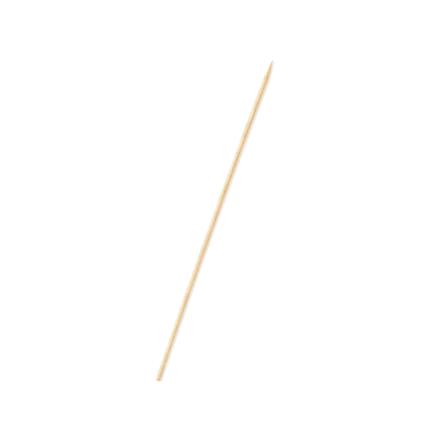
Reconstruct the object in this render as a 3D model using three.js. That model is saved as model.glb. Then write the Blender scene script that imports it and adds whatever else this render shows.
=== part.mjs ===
// A wooden skewer: one split of bamboo, shaped round, cut to length and ground to a point.
// It lies on its side along X with the point towards +X. Millimetres, +Z up.
import * as THREE from "three";

// The stick
const stickLength = 250; // from the sawn face to the tip
const shankDiameter = 3;
const seamLand = 0.6; // width of the flat left above and below, where two half-round cutters met
const bow = 1.1; // how far the middle stands out sideways from the line between the ends

// The point
const pointLength = 15; // from the full shank to the tip
const shoulderEase = 3.5; // how far beyond the shoulder the shank's side line still leads the grind
const tipDiameter = 0.45; // the very end is blunt

// The sawn end
const buttBevel = 0.08; // its edge is broken

// How finely the curved surfaces are divided
const shankSteps = 16;
const pointSteps = 10;
const tipSteps = 3;
const arcSteps = 6; // the curve class makes two facets of each step

const shankRadius = shankDiameter / 2;
const tipRadius = tipDiameter / 2;
const buttX = -stickLength / 2;
const tipX = stickLength / 2;
const shoulderX = tipX - pointLength;

// The cross section of the shank, drawn in Y and Z: two arcs joined by the two seam lands.
function shankSection() {
  const landAngle = Math.asin(seamLand / shankDiameter);
  const outline = new THREE.Shape();
  outline.absarc(0, 0, shankRadius, -Math.PI / 2 + landAngle, Math.PI / 2 - landAngle);
  outline.absarc(0, 0, shankRadius, Math.PI / 2 + landAngle, (3 * Math.PI) / 2 - landAngle);
  return outline.getPoints(arcSteps);
}

// The side line of the stick as points of X and radius, from the middle of the sawn face to the tip.
function sideLine() {
  const butt = [
    new THREE.Vector2(buttX, 0),
    new THREE.Vector2(buttX, shankRadius - buttBevel),
  ];
  const shank = new THREE.LineCurve(
    new THREE.Vector2(buttX + buttBevel, shankRadius),
    new THREE.Vector2(shoulderX, shankRadius),
  );
  const grind = new THREE.QuadraticBezierCurve(
    new THREE.Vector2(shoulderX, shankRadius),
    new THREE.Vector2(shoulderX + shoulderEase, shankRadius),
    new THREE.Vector2(tipX - tipRadius, tipRadius),
  );
  const blunt = new THREE.EllipseCurve(tipX - tipRadius, 0, tipRadius, tipRadius, Math.PI / 2, 0, true);
  return [
    ...butt,
    ...shank.getPoints(shankSteps),
    ...grind.getPoints(pointSteps).slice(1),
    ...blunt.getPoints(tipSteps).slice(1),
  ];
}

// Sideways place of the centre line at x: a shallow parabola, so the ends stay on a straight line.
function bowAt(x) {
  return bow * (1 - (2 * x / stickLength) ** 2);
}

// The section carried along the side line, scaled to each radius and moved by the bow.
function stickGeometry() {
  const section = shankSection();
  const stations = sideLine();
  const positions = stations.flatMap(({ x, y: radius }) =>
    section.flatMap((corner) => {
      const scale = radius / shankRadius;
      return [x, corner.x * scale + bowAt(x), corner.y * scale];
    }),
  );
  const faces = [];
  for (let ring = 0; ring + 1 < stations.length; ring += 1) {
    for (let side = 0; side < section.length; side += 1) {
      const next = (side + 1) % section.length;
      const [a, b] = [ring * section.length + side, ring * section.length + next];
      const [c, d] = [a + section.length, b + section.length];
      faces.push(a, b, d, a, d, c);
    }
  }
  const geometry = new THREE.BufferGeometry();
  geometry.setAttribute("position", new THREE.Float32BufferAttribute(positions, 3));
  geometry.setIndex(faces);
  return geometry;
}

// The origin is under the middle of the stick, on the surface that it lies on.
function standOnOrigin(geometry) {
  geometry.computeBoundingBox();
  const middle = geometry.boundingBox.getCenter(new THREE.Vector3());
  geometry.translate(-middle.x, -middle.y, -geometry.boundingBox.min.z);
  geometry.computeVertexNormals();
  return geometry;
}

const bamboo = new THREE.MeshStandardMaterial({ color: 0xe9d2a6, roughness: 0.62, metalness: 0 });
bamboo.name = "bamboo";

const skewer = new THREE.Mesh(standOnOrigin(stickGeometry()), bamboo);
skewer.name = "skewer";

const group = new THREE.Group();
group.add(skewer);

export default group;
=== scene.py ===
# %% [markdown]
# # A wooden skewer
# The object is one thin stick of bamboo: split from the culm, pushed through a pair of half-round
# knives that make it round, sawn to length and ground to a point. It has one piece and one finish,
# so everything that makes it look real is in its surface: the two seams of the knives, the fibres
# that run the whole length, the ground point and the sawn end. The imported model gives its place
# and size. This script makes the fine surface around it, in metres.

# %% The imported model
import math

import bpy
import numpy as np
from mathutils import Matrix, Vector


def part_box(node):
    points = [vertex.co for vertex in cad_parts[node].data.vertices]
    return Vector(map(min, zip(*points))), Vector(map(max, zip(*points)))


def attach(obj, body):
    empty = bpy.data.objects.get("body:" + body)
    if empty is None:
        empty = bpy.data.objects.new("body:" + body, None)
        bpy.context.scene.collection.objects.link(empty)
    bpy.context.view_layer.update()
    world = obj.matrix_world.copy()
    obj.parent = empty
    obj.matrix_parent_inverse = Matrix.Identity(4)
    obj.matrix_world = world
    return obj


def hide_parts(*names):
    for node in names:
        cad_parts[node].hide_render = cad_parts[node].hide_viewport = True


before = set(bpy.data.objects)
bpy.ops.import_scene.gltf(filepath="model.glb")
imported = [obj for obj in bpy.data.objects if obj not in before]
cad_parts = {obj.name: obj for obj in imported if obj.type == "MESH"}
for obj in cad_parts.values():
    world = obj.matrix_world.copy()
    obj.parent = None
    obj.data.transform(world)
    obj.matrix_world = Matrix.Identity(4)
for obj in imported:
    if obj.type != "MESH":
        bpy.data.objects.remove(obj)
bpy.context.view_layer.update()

MM = 0.001
print("packed nodes:", sorted(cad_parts))

# %% [markdown]
# ## Sizes
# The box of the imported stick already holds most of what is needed. It lies on a narrow flat, the
# seam land, so its height is a little less than its diameter: half the height and half the land
# are the two short sides of a right triangle whose long side is the radius. What the box is wider
# than the diameter is the bow. The other sizes can't be seen in a box, so they are named here.

# %% Driving sizes
SEAM_LAND = 0.6 * MM  # width of each flat between the two half-round cuts
POINT_LENGTH = 15 * MM  # from the full shank to the tip
SHOULDER_EASE = 3.5 * MM  # how far the shank's side line still leads the grind
TIP_RADIUS = 0.225 * MM  # the very end is blunt
BUTT_BEVEL = 0.08 * MM  # broken edge of the sawn end

box_low, box_high = (np.array(corner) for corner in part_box("skewer"))
LENGTH, WIDTH, HEIGHT = box_high - box_low
RADIUS = math.hypot(HEIGHT / 2, SEAM_LAND / 2)
BOW = WIDTH - 2 * RADIUS
BUTT_X, TIP_X = box_low[0], box_high[0]
SHOULDER_X = TIP_X - POINT_LENGTH
print(f"length {LENGTH / MM:.1f} mm, diameter {2 * RADIUS / MM:.2f} mm, bow {BOW / MM:.2f} mm")

# %% [markdown]
# ## The plain form
# A turned shape could be a cylinder with a cone on it, but the grind of a real point has a soft
# shoulder. Here the radius is a function of the place along the stick: constant on the shank, a
# quadratic curve on the point, and a small dome at the very end. A function is handy because the
# grind can then start earlier on one side than on the other, simply by asking for the radius a
# little further along.


# %% Radius along the stick
def ground_radius(x):
    """Radius at x, by the curve that the grind follows. Its X is (1-t)² a + 2t(1-t) b + t² c, where
    a is the shoulder, b lies SHOULDER_EASE beyond it and c is where the dome starts. The quadratic
    is solved for t, and the same weights of t then mix the radii at a, b and c."""
    a, b, c = SHOULDER_X, SHOULDER_X + SHOULDER_EASE, TIP_X - TIP_RADIUS
    square, linear, constant = a - 2 * b + c, 2 * (b - a), a - np.clip(x, a, c)
    t = (-linear + np.sqrt(linear**2 - 4 * square * constant)) / (2 * square)
    return ((1 - t) ** 2 + 2 * t * (1 - t)) * RADIUS + t**2 * TIP_RADIUS


def dome_radius(x):
    """Radius of the blunt tip: a half circle, so radius² + (x - centre)² = TIP_RADIUS²."""
    reach = np.clip(x - (TIP_X - TIP_RADIUS), 0, TIP_RADIUS)
    return np.sqrt(TIP_RADIUS**2 - reach**2)


# %% [markdown]
# ## Where the rings go
# The surface is a grid: rings along the stick and sides around it. Fibres are long, so the rings
# can be far apart on the shank, but the point, the bevel and the sawn face need them closer. The
# face is made of rings too, growing from its middle to its edge, so the grid runs without a break
# from the middle of the sawn face, round the bevel, along the shank and over the tip.

# %% Rings and sides
SIDES = 128
FACE_RINGS = 22
BEVEL_RINGS = 5
DOME_RINGS = 7
FACE_MIDDLE = 0.05 * MM  # radius of the smallest ring on the face
NEAR_BUTT = 2 * MM  # the rings stay close together as far as this from the sawn face
NEAR_SHOULDER = 1.2 * MM  # and again from this far before the shoulder
BUTT_STEP, SHANK_STEP, POINT_STEP = 0.1 * MM, 0.367 * MM, 0.2 * MM

face_radius = np.linspace(FACE_MIDDLE, RADIUS - BUTT_BEVEL, FACE_RINGS)
bevel_turn = np.linspace(0, math.pi / 2, BEVEL_RINGS + 1)[1:]
dome_turn = np.linspace(0, math.pi / 2, DOME_RINGS + 1)[1:-1]
near_butt = np.arange(BUTT_X + BUTT_BEVEL, BUTT_X + NEAR_BUTT, BUTT_STEP)[1:]
along_shank = np.arange(BUTT_X + NEAR_BUTT, SHOULDER_X - NEAR_SHOULDER, SHANK_STEP)
along_point = np.arange(SHOULDER_X - NEAR_SHOULDER, TIP_X - TIP_RADIUS, POINT_STEP)

ring_x = np.concatenate([
    np.full(FACE_RINGS, BUTT_X),
    BUTT_X + BUTT_BEVEL * (1 - np.cos(bevel_turn)),
    near_butt,
    along_shank,
    along_point,
    TIP_X - TIP_RADIUS * (1 - np.sin(dome_turn)),
])
RINGS = len(ring_x)
turn = np.arange(SIDES) * 2 * math.pi / SIDES  # angle of each side, 0 towards +Y and 90° up
x_grid = np.repeat(ring_x[:, None], SIDES, axis=1)
print(RINGS, "rings of", SIDES, "sides,", 2 * SIDES * RINGS, "triangles")

# %% [markdown]
# ## Uneven by nature
# Nothing on a stick of bamboo repeats. Most of its unevenness can come from one helper: a sum of
# cosines, each with a whole number of waves around the stick, so that it meets itself, and a
# slow drift along it. Few waves around give lumps and facets, many give fibres. It is worked out as
# two small tables multiplied together, which is much faster than a sum over every point.


# %% Waves on the skin of the stick
def skin_waves(seed, around, along, count=40):
    """A field of rings × sides: the sum of `count` cosines cos(n·turn + k·x + phase), divided by its
    spread so that most values lie between -2 and 2. The whole number n is drawn from the range
    `around`, and k so that the field changes over about `along` metres."""
    draw = np.random.default_rng(seed)
    waves = draw.integers(around[0], around[1] + 1, count)
    drift = draw.normal(0, 1 / along, count)
    phase = draw.uniform(0, 2 * math.pi, count)
    by_ring = np.outer(ring_x, drift) + phase
    by_side = np.outer(turn, waves)
    field = np.cos(by_ring) @ np.cos(by_side).T - np.sin(by_ring) @ np.sin(by_side).T
    return field / field.std()


def ramp(value, start, end):
    """0 before start, 1 after end, and the smooth step 3t² - 2t³ between them."""
    t = np.clip((value - start) / (end - start), 0, 1)
    return t * t * (3 - 2 * t)


# %% [markdown]
# ## The shank
# The knives leave three marks. Fibres that they cut across stand as fine ridges with grooves
# between them. The feed leaves faint cross waves, and because there are two knives the two sides
# of the stick have waves of their own, which meet at the seam lands. And the stick is never quite
# the same thickness all along.

# %% Relief of the shank
GROOVE_DEPTH = 0.016 * MM
GROOVE_START, GROOVE_MOST = 0.2, 2.5  # fibre waves below the first leave no groove
LUMP_HEIGHT = 0.010 * MM
FEED_DEPTH = 0.003 * MM
FEED_PITCH = 2.1 * MM
BACK_KNIFE_LAG = 0.37  # share of a pitch that the second knife is behind the first
SEAM_BLEND = 0.15  # how softly one knife's waves give way to the other's

fibres = skin_waves(seed=11, around=(9, 40), along=22 * MM, count=70)
lumps = skin_waves(seed=12, around=(1, 6), along=9 * MM)
groove = GROOVE_DEPTH * np.clip(fibres - GROOVE_START, 0, GROOVE_MOST)
front_knife = np.cos(2 * math.pi * x_grid / FEED_PITCH)
back_knife = np.cos(2 * math.pi * (x_grid / FEED_PITCH + BACK_KNIFE_LAG))
on_front = ramp(np.cos(turn), -SEAM_BLEND, SEAM_BLEND)
feed = FEED_DEPTH * (1 + on_front * front_knife + (1 - on_front) * back_knife)
shank_relief = groove + feed + LUMP_HEIGHT * (1 + lumps)
print(f"shank relief {shank_relief.mean() / MM:.3f} mm on average, {shank_relief.max() / MM:.3f} at most")

# %% [markdown]
# ## The point
# The point is ground by hand-fed wheels, so it is never quite true: it starts earlier on one side,
# it has vague flats, and the wheel leaves faint rings. Each is a small change to the radius
# function, and each fades out towards the tip so that the end stays where it is.

# %% Radius everywhere, with the grind
GRIND_LEAN = 0.9 * MM  # how much earlier the grind starts on one side
GRIND_LEAN_TURN = math.radians(70)
GRIND_RAGGED = 0.22 * MM
FLAT_DEPTH = 0.022  # share of the radius
WHEEL_DEPTH = 0.0035 * MM
WHEEL_PITCH = 0.85 * MM
MARKS_START, MARKS_FULL = -1 * MM, 3 * MM  # where the grind's marks come in, from the shoulder
GROUND_AWAY = 0.7  # share of the shank's relief that the grind takes off

on_point = ramp(x_grid, SHOULDER_X + MARKS_START, SHOULDER_X + MARKS_FULL)
left_to_tip = np.clip((TIP_X - x_grid) / POINT_LENGTH, 0, 1)
ragged = GRIND_RAGGED * skin_waves(seed=21, around=(2, 14), along=30 * MM)
early = (GRIND_LEAN * np.cos(turn - GRIND_LEAN_TURN) + ragged) * left_to_tip
flats = FLAT_DEPTH * skin_waves(seed=22, around=(3, 7), along=3.2 * MM)
wheel = WHEEL_DEPTH * (1 + np.cos(2 * math.pi * x_grid / WHEEL_PITCH + 2 * np.cos(turn)))

radius_grid = ground_radius(x_grid + early)
in_dome = ring_x > TIP_X - TIP_RADIUS
radius_grid[in_dome] = dome_radius(x_grid[in_dome])
radius_grid *= 1 - flats * on_point * np.sqrt(left_to_tip)
radius_grid -= wheel * on_point * left_to_tip
radius_grid -= shank_relief * (radius_grid / RADIUS) * (1 - GROUND_AWAY * on_point)

# %% [markdown]
# ## The sawn end
# A fine saw cuts the stick square and leaves shallow parallel marks on the face. Where the teeth
# leave the wood they tear a few fibres out of its edge. The rings of the side are pressed in at the
# torn places first. The bevel, a quarter circle, and the flat face then start from that uneven rim,
# so that the skin never folds over itself, and the saw marks are last.

# %% Radii and dents of the sawn end
SAW_PITCH = 0.30 * MM
SAW_DEPTH = 0.006 * MM
SAW_TURN = math.radians(24)
SAW_MARK_REACH = 0.1 * MM  # how far round the bevel the marks go on
SAW_SWAY, SAW_SWAY_TURNS = 0.6, 5  # the marks are a little uneven: radians, and radians in a millimetre
TORN_DEPTH = 0.05 * MM
TORN_LENGTH = 0.35 * MM
TORN_START, TORN_MOST = 0.7, 2  # only the strongest waves tear the edge

on_face = slice(0, FACE_RINGS)
on_bevel = slice(FACE_RINGS, FACE_RINGS + BEVEL_RINGS)
on_side = slice(FACE_RINGS, RINGS)
rim_waves = skin_waves(seed=31, around=(3, 26), along=5 * MM)[FACE_RINGS]
torn = np.clip(rim_waves - TORN_START, 0, TORN_MOST)
radius_grid[on_bevel] = radius_grid[FACE_RINGS + BEVEL_RINGS]
radius_grid[on_side] -= TORN_DEPTH * torn * np.exp(-(x_grid[on_side] - BUTT_X) / TORN_LENGTH)
radius_grid[on_bevel] -= BUTT_BEVEL * (1 - np.sin(bevel_turn))[:, None]
edge = radius_grid[FACE_RINGS] - BUTT_BEVEL * math.sin(bevel_turn[0])
radius_grid[on_face] = edge * (face_radius / face_radius[-1])[:, None]

across = radius_grid * np.cos(turn - SAW_TURN)
sway = SAW_SWAY * np.sin(across / MM * SAW_SWAY_TURNS)
saw_marks = SAW_DEPTH * (1 + np.cos(2 * math.pi * across / SAW_PITCH + sway))
end_dents = saw_marks * np.exp(-np.clip(x_grid - BUTT_X, 0, None) / SAW_MARK_REACH)
end_dents[FACE_RINGS + BEVEL_RINGS:] = 0
print(f"torn up to {(TORN_DEPTH * torn).max() / MM:.2f} mm deep at the edge of the sawn end")

# %% [markdown]
# ## Bent and laid down
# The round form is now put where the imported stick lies. Its height is cut off at the two seam
# lands: the ridges are cut flat there and the deeper grooves stay. Its middle is moved sideways by
# the bow, a parabola that is zero at both ends. A copy of each point from before the bow is kept as
# the attribute `grain`: the fibres follow the bow, so the finish is later drawn in that straight
# stick.


# %% Points of the stick
def bow_at(x):
    """Sideways place of the middle: BOW · (1 - (2x / LENGTH)²), less half of BOW to centre it."""
    return BOW * (0.5 - (2 * x / LENGTH) ** 2)


WANDER = 0.015 * MM
RIDGE_CUT = 0.012 * MM  # relief up to this depth is gone on the seam lands
wander = WANDER * skin_waves(seed=41, around=(0, 0), along=16 * MM, count=9)
straight_y = radius_grid * np.cos(turn)
land_height = HEIGHT / 2
land_cut = land_height - np.clip(shank_relief - RIDGE_CUT, 0, None)
straight_z = np.clip(radius_grid * np.sin(turn), -land_cut, land_cut)
x_places = x_grid + end_dents
stick_points = np.stack([x_places, straight_y + bow_at(x_grid) + wander, straight_z + land_height], axis=2)
straight_points = np.stack([x_places, straight_y, straight_z], axis=2)
print("lowest point", stick_points[..., 2].min() / MM, "mm above the table")

# %% [markdown]
# ## From a grid to a closed mesh
# Every square of the grid becomes a face. The first and last rings are closed with a fan round one
# more point, so the skin has no hole. The unrolled skin is 250 mm by 9 mm, far too long for a
# square map, so the map holds it as strips laid side by side. The face and the point are
# small but detailed, so they get more of the map than their size asks for.

# %% Unrolled map of the skin
STRIPS = 3
MAP_EDGE = 0.004
FACE_SHARE = 3.5
POINT_SHARE = 1.5
STRIP_ROOM = 1.01  # a strip ends with a whole row, so it can be a little longer than its share

ring_radius = radius_grid.mean(axis=1)
step = np.hypot(np.diff(ring_x, prepend=BUTT_X), np.diff(ring_radius, prepend=0))
share = np.where(np.arange(RINGS) < FACE_RINGS, FACE_SHARE, np.where(ring_x > SHOULDER_X, POINT_SHARE, 1))
unrolled = np.cumsum(step * share)
row_middle = (unrolled[1:] + unrolled[:-1]) / 2
strip_of_row = np.minimum((row_middle / unrolled[-1] * STRIPS).astype(int), STRIPS - 1)
strip_length = unrolled[-1] / STRIPS * STRIP_ROOM


def map_place(row, ring, side):
    """U and V of a ring and side as seen from one row of faces: U is how far the ring is unrolled
    beyond the start of the row's strip, and V is the share of a turn, within that strip's band."""
    strip = strip_of_row[row]
    start = unrolled[np.searchsorted(strip_of_row, strip)]
    u = MAP_EDGE + (unrolled[ring] - start) / strip_length * (1 - 2 * MAP_EDGE)
    v = (strip + MAP_EDGE * STRIPS + side / SIDES * (1 - 2 * MAP_EDGE * STRIPS)) / STRIPS
    return np.stack(np.broadcast_arrays(u, v), axis=-1)


# %% Closed mesh of the stick
def closed_skin(name, points, straight):
    """A mesh of the rings × sides grid, with a fan at each end round the average of its last ring.
    Faces are listed so that they look outwards, with their corners' places in the map."""
    rings, sides = points.shape[:2]
    row, side = np.meshgrid(np.arange(rings - 1), np.arange(sides), indexing="ij")
    after = (side + 1) % sides
    squares = np.stack([row * sides + side, row * sides + after,
                        (row + 1) * sides + after, (row + 1) * sides + side], axis=-1).reshape(-1, 4)
    square_map = np.stack([map_place(row, row, side), map_place(row, row, side + 1),
                           map_place(row, row + 1, side + 1), map_place(row, row + 1, side)], axis=2)
    start, end = rings * sides, rings * sides + 1
    first, second = np.arange(sides), (np.arange(sides) + 1) % sides
    last = (rings - 1) * sides
    fans = np.concatenate([np.stack([np.full(sides, start), second, first], axis=-1),
                           np.stack([np.full(sides, end), last + first, last + second], axis=-1)])
    step_side = np.arange(sides)
    last_row = rings - 2
    fan_map = np.concatenate([
        np.stack([map_place(0, 0, step_side + 0.5), map_place(0, 0, step_side + 1),
                  map_place(0, 0, step_side)], axis=1),
        np.stack([map_place(last_row, rings - 1, step_side + 0.5), map_place(last_row, rings - 1, step_side),
                  map_place(last_row, rings - 1, step_side + 1)], axis=1)])

    def with_ends(grid):
        """All points of a grid, then the middle of the sawn face and the very tip."""
        face_middle, tip = grid[0].mean(axis=0), grid[-1].mean(axis=0)
        tip[0] = TIP_X
        return np.concatenate([grid.reshape(-1, 3), face_middle[None], tip[None]])

    mesh = bpy.data.meshes.new(name)
    mesh.from_pydata(with_ends(points).tolist(), [], squares.tolist() + fans.tolist())
    places = mesh.uv_layers.new(name="OFBake")
    places.data.foreach_set("uv", np.concatenate([square_map.ravel(), fan_map.ravel()]))
    grain = mesh.attributes.new("grain", "FLOAT_VECTOR", "POINT")
    grain.data.foreach_set("vector", (with_ends(straight) / MM).ravel())
    mesh.shade_smooth()
    mesh.update()
    piece = bpy.data.objects.new(name, mesh)
    bpy.context.scene.collection.objects.link(piece)
    return piece


stick = closed_skin("bamboo_stick", stick_points, straight_points)
corners = np.empty(3 * len(stick.data.vertices))
stick.data.vertices.foreach_get("co", corners)
corners = corners.reshape(-1, 3) / MM
print("stick mesh:", len(stick.data.polygons), "faces")
print("it reaches from", corners.min(axis=0), "to", corners.max(axis=0), "mm")

# %% [markdown]
# ## The bamboo
# Bamboo has no growth rings. Its section is pale pith dotted with darker bundles of fibre, each
# with a fine open vessel in it, and all of them run along the stick. So the finish is drawn as a
# solid: a pattern of dots in the section that hardly changes along the length. On the shank the
# dots come out as long streaks, on the point as longer slanted ones, and on the sawn end as dots.

# %% Helpers for shader nodes
bamboo = bpy.data.materials.new("bamboo")
bamboo.use_nodes = True
tree = bamboo.node_tree
skin = tree.nodes["Principled BSDF"]


def node(kind, feeds, **settings):
    """The outputs of a new node, with its settings, whose inputs take sockets or plain values."""
    made = tree.nodes.new(kind)
    for name, value in settings.items():
        setattr(made, name, value)
    for name, value in feeds.items():
        if isinstance(value, bpy.types.NodeSocket):
            tree.links.new(value, made.inputs[name])
        else:
            made.inputs[name].default_value = value
    return made.outputs


def maths(operation, first, second=0.0):
    """One arithmetic step between two sockets or numbers."""
    return node("ShaderNodeMath", {0: first, 1: second}, operation=operation)[0]


def fade(value, start, end, low=0.0, high=1.0):
    """Smooth change from low to high while value goes from start to end."""
    feeds = {"Value": value, "From Min": start, "From Max": end, "To Min": low, "To Max": high}
    return node("ShaderNodeMapRange", feeds, interpolation_type="SMOOTHSTEP")["Result"]


def tint(share, under, over, way="MIX"):
    """Colour `over` laid on colour `under` by a share, which is a socket or a number."""
    feeds = {"Factor": share, "A": under, "B": over}
    made = tree.nodes.new("ShaderNodeMix")
    made.data_type, made.blend_type = "RGBA", way
    for socket in made.inputs:
        if socket.name in feeds and socket.type in ("RGBA", "VALUE") and socket.enabled:
            value = feeds[socket.name]
            if isinstance(value, bpy.types.NodeSocket):
                tree.links.new(value, socket)
            else:
                socket.default_value = value
    return next(out for out in made.outputs if out.enabled)


def colour(red, green, blue):
    """A screen colour of 0 to 255 as the linear colour that a shader takes."""
    screen = np.array([red, green, blue]) / 255
    linear = np.where(screen <= 0.04045, screen / 12.92, ((screen + 0.055) / 1.055) ** 2.4)
    return (*linear.tolist(), 1.0)


# %% The straight stick's own coordinates
grain_place = node("ShaderNodeAttribute", {}, attribute_name="grain")["Vector"]
grain_x, grain_y, grain_z = node("ShaderNodeSeparateXYZ", {0: grain_place})


def drawn_out(along, across):
    """The grain coordinates scaled by two numbers of repeats in each millimetre."""
    return node("ShaderNodeVectorMath", {0: grain_place, 1: (along, across, across)}, operation="MULTIPLY")[0]


def noise(along, across, detail=2.0, roughness=0.5):
    """Soft noise from 0 to 1 with that many repeats in each millimetre."""
    feeds = {"Vector": drawn_out(along, across), "Scale": 1.0, "Detail": detail, "Roughness": roughness}
    return node("ShaderNodeTexNoise", feeds)["Fac"]


# %% [markdown]
# ### Bundles and vessels
# A cell pattern in the section gives the dots. The section coordinates wander a little along the
# length first, so that a streak comes to the surface, runs for a few centimetres and sinks again.
# Bundles are smaller and closer towards the skin of the culm, which was on the -Y side here, so that
# axis is squeezed there. The same side is also more golden, partly as the culm's skin side and partly
# as painted shade, since it is turned away from the key lamp; the other one is nearly white pith.

# %% Bundle pattern
BUNDLES_PER_MM = 2.1
BUNDLE_SCATTER = 0.85  # 0 would set them in rows, 1 scatters them fully
BUNDLE_DRIFT = 0.9  # how far a bundle wanders sideways, in millimetres
SKIN_SQUEEZE = 0.09  # how much closer the bundles are towards the skin of the culm
BUNDLE_EDGE = (0.37, 0.24)  # where each begins and is full, from the middle of a cell
SHEATH_EDGE = (0.30, 0.12)
VESSEL_EDGE = (0.10, 0.05)

drift_feeds = {"Vector": drawn_out(along=0.022, across=0.25), "Scale": 1.0, "Detail": 1.0}
drift = node("ShaderNodeTexNoise", drift_feeds)["Color"]
drift_y, drift_z = node("ShaderNodeSeparateXYZ", {0: drift})[:2]
squeeze = maths("MULTIPLY", maths("MULTIPLY", grain_y, grain_y), SKIN_SQUEEZE)
section_y = maths("ADD", maths("SUBTRACT", grain_y, squeeze), maths("MULTIPLY", drift_y, BUNDLE_DRIFT))
section_z = maths("ADD", grain_z, maths("MULTIPLY", drift_z, BUNDLE_DRIFT))
section = node("ShaderNodeCombineXYZ", {0: section_y, 1: section_z})[0]
cell_feeds = {"Vector": section, "Scale": BUNDLES_PER_MM, "Randomness": BUNDLE_SCATTER}
cells = node("ShaderNodeTexVoronoi", cell_feeds, voronoi_dimensions="2D")
bundle = fade(cells["Distance"], *BUNDLE_EDGE)
sheath = fade(cells["Distance"], *SHEATH_EDGE)
vessel = fade(cells["Distance"], *VESSEL_EDGE)
bundle_tone, bundle_age = node("ShaderNodeSeparateXYZ", {0: cells["Color"]})[:2]

# %% [markdown]
# ### Fibres
# Between bundles and single fibres there are three finer scales. Broad fibres shift the tone, hair
# fibres make it silky, and thin lines show where the knife ran between two layers. A line is made
# where a stretched noise passes through its middle value, which happens along long closed loops, as
# in real grain. Short dark dashes are vessels that the knife has laid open.


# %% Fibres, lines and dashes
LINE_CORE = 0.15  # share of a line's width where it is at its strongest
SHADED_GOLD_SWAY = 4.0  # millimetres that the golden side moves with the slow change of tone
DASH_EDGE = (0.63, 0.67)
DASH_AGE = (0.25, 0.5)  # the younger bundles show no open vessels


def lines(along, across, width, detail=1.0):
    """Thin lines along the fibres: 1 where the noise is at its middle value, 0 beyond `width`."""
    from_middle = maths("ABSOLUTE", maths("SUBTRACT", noise(along, across, detail), 0.5))
    return fade(from_middle, width, width * LINE_CORE)


broad_fibre = noise(along=0.03, across=4.5, detail=4, roughness=0.7)
hair_fibre = noise(along=0.12, across=14, detail=3, roughness=0.75)
tone = noise(along=0.014, across=0.45, detail=2)
# painted shade, in part: the -Y side, turned away from the key lamp, gets the golden tint, and the slow tone
# moves its edge
gold_shade_side = maths("SUBTRACT", maths("MULTIPLY", tone, SHADED_GOLD_SWAY), grain_y)
knife_line = lines(along=0.045, across=3.2, width=0.07, detail=3)
dash = fade(noise(along=0.16, across=9, detail=1), *DASH_EDGE)
open_vessel = maths("MULTIPLY", dash, fade(bundle_age, *DASH_AGE))

# %% [markdown]
# ### Colour
# The pith is cream, the bundles are straw and the vessels brown. Broad fibres shift the value a
# little, and a slow change of tone runs along the stick, from nearly white to golden. The golden
# tint lies mostly on the -Y side, away from the key lamp, so it is also painted shade. The sawn end
# is darker, because open end grain drinks the light, and the last of the point is slightly browned
# by the heat of the wheel.

# %% Colour of the bamboo
PITH = colour(254, 243, 218)
BUNDLE_PALE = colour(248, 230, 190)
BUNDLE_TAN = colour(239, 209, 154)
SHEATH = colour(190, 142, 88)
VESSEL = colour(140, 94, 52)
# golden tint of the -Y side: partly the culm's skin side, partly painted shade on the side away from the key
# lamp
GOLD_PAINTED_SHADE = colour(246, 221, 170)
FIBRE_SHADE = colour(244, 224, 186)
LINE_SHADE = colour(206, 168, 114)
END_SHADE = colour(240, 220, 184)
BROWNED = colour(205, 160, 108)

END_SPAN = (0.12, 0.02)  # millimetres from the sawn face where its finish begins and is full
GRIND_SPAN = 2.5  # millimetres from the shoulder to where the finish of the point is full
BROWNED_SPAN = (-3.0, 0.3)  # millimetres from the tip where the browning begins and would be full
BUNDLE_AGE = {"start": 0.1, "end": 0.9, "low": 0.35, "high": 0.95}  # older bundles show more
SHADED_GOLD_EDGE, SHADED_GOLD_MOST = (1.4, 3.4), 0.85
BROAD_EDGE, HAIR_EDGE, FIBRE_MOST = (0.42, 0.68), (0.46, 0.62), 0.6
END_MOST, VESSEL_MOST, BROWNED_MOST = 0.7, 0.8, 0.55


def between(share, low, high):
    """The value from low to high that a share of 0 to 1 picks, with soft ends."""
    return fade(share, 0.0, 1.0, low, high)


butt_mm, tip_mm, shoulder_mm = BUTT_X / MM, TIP_X / MM, SHOULDER_X / MM
on_end = fade(grain_x, butt_mm + END_SPAN[0], butt_mm + END_SPAN[1])
on_grind = fade(grain_x, shoulder_mm, shoulder_mm + GRIND_SPAN)
at_tip = fade(grain_x, tip_mm + BROWNED_SPAN[0], tip_mm + BROWNED_SPAN[1], high=BROWNED_MOST)
end_dot = maths("MULTIPLY", maths("MULTIPLY", sheath, on_end), between(bundle_tone, low=0.45, high=0.9))
bundle_share = maths("MULTIPLY", bundle, fade(bundle_age, **BUNDLE_AGE))
line_share = maths("MULTIPLY", knife_line, between(on_end, low=0.45, high=0.2))
dash_share = maths("MULTIPLY", open_vessel, between(bundle, low=0.12, high=0.5))
vessel_share = maths("MULTIPLY", vessel, maths("MULTIPLY", on_end, VESSEL_MOST))

wood = tint(bundle_share, PITH, tint(bundle_tone, BUNDLE_PALE, BUNDLE_TAN))
# painted shade, in part: the golden tint darkens the side turned away from the key lamp
wood = tint(fade(gold_shade_side, *SHADED_GOLD_EDGE, high=SHADED_GOLD_MOST), wood, GOLD_PAINTED_SHADE, "MULTIPLY")
wood = tint(fade(broad_fibre, *BROAD_EDGE, high=FIBRE_MOST), wood, FIBRE_SHADE, "MULTIPLY")
wood = tint(fade(hair_fibre, *HAIR_EDGE, high=FIBRE_MOST), wood, FIBRE_SHADE, "MULTIPLY")
wood = tint(line_share, wood, LINE_SHADE, "MULTIPLY")
wood = tint(dash_share, wood, SHEATH)
wood = tint(maths("MULTIPLY", on_end, END_MOST), wood, END_SHADE, "MULTIPLY")
wood = tint(end_dot, wood, SHEATH)
wood = tint(vessel_share, wood, VESSEL)
wood = tint(at_tip, wood, BROWNED, "MULTIPLY")
tree.links.new(wood, skin.inputs["Base Color"])

# %% [markdown]
# ### Shine and touch
# A cut stick is neither glossy nor dusty. Its pith is duller than its fibres, and the ground point
# and the sawn end are duller than the shank. The bump is the same pattern as the colour, so the
# bundles stand out where they are seen, and the wheel adds fine scratches across the point.

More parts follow.
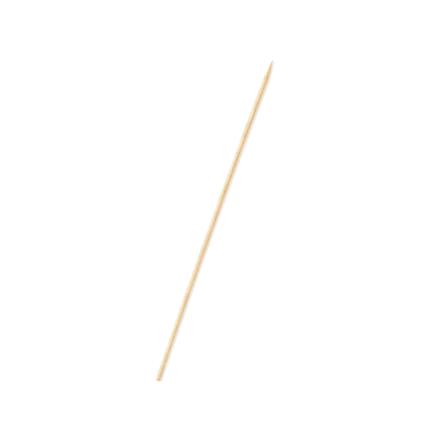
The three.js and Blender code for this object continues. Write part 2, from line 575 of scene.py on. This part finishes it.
# %% Roughness and bump
SHANK_ROUGHNESS = {"start": 0.3, "end": 0.7, "low": 0.40, "high": 0.58}  # by the hair fibres
WORKED_DULLER = 0.18  # the point and the sawn end
BUNDLE_GLOSSIER = 0.07
BUMP_DEPTH = 0.025 * MM
LIGHT_REACH = 0.5 * MM  # how deep red light goes into the wood, and then its share in each colour
LIGHT_REACH_BY_COLOUR = (1.0, 0.6, 0.35)

scratch = maths("MULTIPLY", noise(along=6, across=0.5, detail=2), on_grind)
worked = maths("MAXIMUM", on_end, on_grind)
dull = maths("ADD", fade(hair_fibre, **SHANK_ROUGHNESS), maths("MULTIPLY", worked, WORKED_DULLER))
roughness = maths("SUBTRACT", dull, maths("MULTIPLY", bundle, BUNDLE_GLOSSIER))
tree.links.new(roughness, skin.inputs["Roughness"])

height = maths("MULTIPLY", bundle, 0.3)
raised = [(broad_fibre, 0.7), (hair_fibre, 0.7), (scratch, 0.5)]
sunk = [(knife_line, -0.3), (open_vessel, -0.5)]
for pattern, share in raised + sunk:
    height = maths("ADD", height, maths("MULTIPLY", pattern, share))
bump = node("ShaderNodeBump", {"Height": height, "Strength": 0.7, "Distance": BUMP_DEPTH})
tree.links.new(bump["Normal"], skin.inputs["Normal"])
skin.inputs["Subsurface Weight"].default_value = 0.2
skin.inputs["Subsurface Radius"].default_value = LIGHT_REACH_BY_COLOUR
skin.inputs["Subsurface Scale"].default_value = LIGHT_REACH
stick.data.materials.append(bamboo)

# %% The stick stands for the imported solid
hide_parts("skewer")
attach(stick, "root")

# %% [markdown]
# ## Table and light
# The stick lies on a plain white table. The table and the room are only a background, so to the
# camera and in reflections they are lifted to full white, while the table keeps the shadow. Two
# lamps that are far away and wide, like large softboxes, light the whole table evenly: the key from
# the left and a weaker fill from the right. The rest of the light comes from the white room.

# %% White to the eye
TABLE_HALF = 4.0
TABLE_PAINT = 0.86
TABLE_LIFT = 0.22  # glow added to the table, only as it is seen
AMBIENT = 0.5


def seen_share(material_tree):
    """A socket that is 1 for rays from the camera, in reflections and through glass, else 0."""
    ray = material_tree.nodes.new("ShaderNodeLightPath")
    seen = ray.outputs["Is Camera Ray"]
    for kind in ("Is Glossy Ray", "Is Transmission Ray"):
        larger = material_tree.nodes.new("ShaderNodeMath")
        larger.operation = "MAXIMUM"
        material_tree.links.new(seen, larger.inputs[0])
        material_tree.links.new(ray.outputs[kind], larger.inputs[1])
        seen = larger.outputs[0]
    return seen


# %% Table and room
def white_table():
    """A square table top at height zero, which looks white and keeps its shadows."""
    mesh = bpy.data.meshes.new("table_top")
    edge = [(-1, -1), (1, -1), (1, 1), (-1, 1)]
    mesh.from_pydata([(x * TABLE_HALF, y * TABLE_HALF, 0) for x, y in edge], [], [(0, 1, 2, 3)])
    table = bpy.data.objects.new("table_top", mesh)
    bpy.context.scene.collection.objects.link(table)
    paint = bpy.data.materials.new("table_white")
    paint.use_nodes = True
    nodes, links = paint.node_tree.nodes, paint.node_tree.links
    nodes.clear()
    out, lift = nodes.new("ShaderNodeOutputMaterial"), nodes.new("ShaderNodeMath")
    kinds = ("BsdfDiffuse", "Emission", "AddShader")
    diffuse, glow, both = (nodes.new(f"ShaderNode{kind}") for kind in kinds)
    diffuse.inputs["Color"].default_value = (TABLE_PAINT, TABLE_PAINT, TABLE_PAINT, 1)
    lift.operation = "MULTIPLY"
    lift.inputs[1].default_value = TABLE_LIFT
    links.new(seen_share(paint.node_tree), lift.inputs[0])
    links.new(lift.outputs[0], glow.inputs["Strength"])
    links.new(diffuse.outputs[0], both.inputs[0])
    links.new(glow.outputs[0], both.inputs[1])
    links.new(both.outputs[0], out.inputs["Surface"])
    mesh.materials.append(paint)


def white_room():
    """A room that gives AMBIENT light and looks white behind the stick."""
    world = bpy.data.worlds.new("white_room")
    bpy.context.scene.world = world
    world.use_nodes = True
    nodes, links = world.node_tree.nodes, world.node_tree.links
    level = nodes.new("ShaderNodeMapRange")
    level.inputs["To Min"].default_value = AMBIENT
    level.inputs["To Max"].default_value = 1.0
    links.new(seen_share(world.node_tree), level.inputs["Value"])
    links.new(level.outputs[0], nodes["Background"].inputs["Strength"])
    nodes["Background"].inputs["Color"].default_value = (1, 1, 1, 1)


white_table()
white_room()
print(f"table of {2 * TABLE_HALF:.0f} m, room light {AMBIENT}")


# %% Lamps
def soft_lamp(name, towards, strength, spread):
    """A distant lamp that shines from the direction `towards`, as wide as `spread` degrees."""
    lamp = bpy.data.lights.new(name, "SUN")
    lamp.energy, lamp.angle = strength, math.radians(spread)
    holder = bpy.data.objects.new(name, lamp)
    holder.rotation_mode = "QUATERNION"
    holder.rotation_quaternion = Vector(towards).to_track_quat("Z", "Y")
    bpy.context.scene.collection.objects.link(holder)


soft_lamp("key_lamp", towards=(0.35, 0.9, 1.0), strength=1.55, spread=30)
soft_lamp("fill_lamp", towards=(0.1, -1.0, 0.7), strength=0.75, spread=90)

# %% [markdown]
# ## Camera
# The camera looks down on the stick. In the photograph the stick runs from lower left to upper
# right and leans 15 degrees out of the picture, with its point nearer to the lens. So the camera
# stands 15 degrees beyond the vertical, on the side of the point, and is rolled and moved until
# the two ends fall on their two places in the picture. With a long lens that is a small piece of
# algebra: two image points fix the distance, the roll and the sideways place.

# %% Camera through two image points
PICTURE = 430  # pixels each way
BUTT_PIXEL = np.array([157, 380])
TIP_PIXEL = np.array([272, 60])
LEAN = math.radians(15)
LENS = 100.0
SENSOR = 36.0
NEAREST, FARTHEST = 0.01, 100  # metres from the camera that it can see


def place_camera():
    """With D the distance to the middle of the stick, h and s the half length across and towards the
    view, o the camera's sideways place, e the stick's direction in the picture and F the focal
    length in pixels, the ends lie at B = F(-he - o)/(D + s) and T = F(he - o)/(D - s). Their
    difference gives D(T - B) - s(T + B) = 2hFe, whose length gives D and whose direction gives e."""
    focal = LENS / SENSOR * PICTURE
    flip = np.array([1, -1])
    end_b, end_t = ((pixel - PICTURE / 2) * flip for pixel in (BUTT_PIXEL, TIP_PIXEL))
    h, s = LENGTH / 2 * math.cos(LEAN), LENGTH / 2 * math.sin(LEAN)
    apart, total = end_t - end_b, end_t + end_b
    square, linear = apart @ apart, -2 * s * (apart @ total)
    constant = s * s * (total @ total) - (2 * h * focal) ** 2
    distance = (-linear + math.sqrt(linear**2 - 4 * square * constant)) / (2 * square)
    e = (distance * apart - s * total) / (2 * h * focal)
    sideways = h * e - (distance - s) * end_t / focal
    back = np.array([math.sin(LEAN), 0, math.cos(LEAN)])
    along = np.array([math.cos(LEAN), 0, -math.sin(LEAN)])
    beside = np.cross(along, back)
    right, up = e[1] * beside + e[0] * along, -e[0] * beside + e[1] * along
    middle = np.array([0, 0, HEIGHT / 2])
    place = middle + distance * back + sideways[0] * right + sideways[1] * up
    data = bpy.data.cameras.new("camera")
    data.lens, data.sensor_width = LENS, SENSOR
    data.clip_start, data.clip_end = NEAREST, FARTHEST
    camera = bpy.data.objects.new("camera", data)
    bpy.context.scene.collection.objects.link(camera)
    turned = np.stack([right, up, back], axis=1)
    camera.matrix_world = Matrix.LocRotScale(Vector(place), Matrix(turned.tolist()).to_quaternion(), None)
    bpy.context.scene.camera = camera
    print(f"camera {distance:.3f} m from the middle of the stick")


place_camera()
bpy.context.scene.view_settings.view_transform = "Standard"
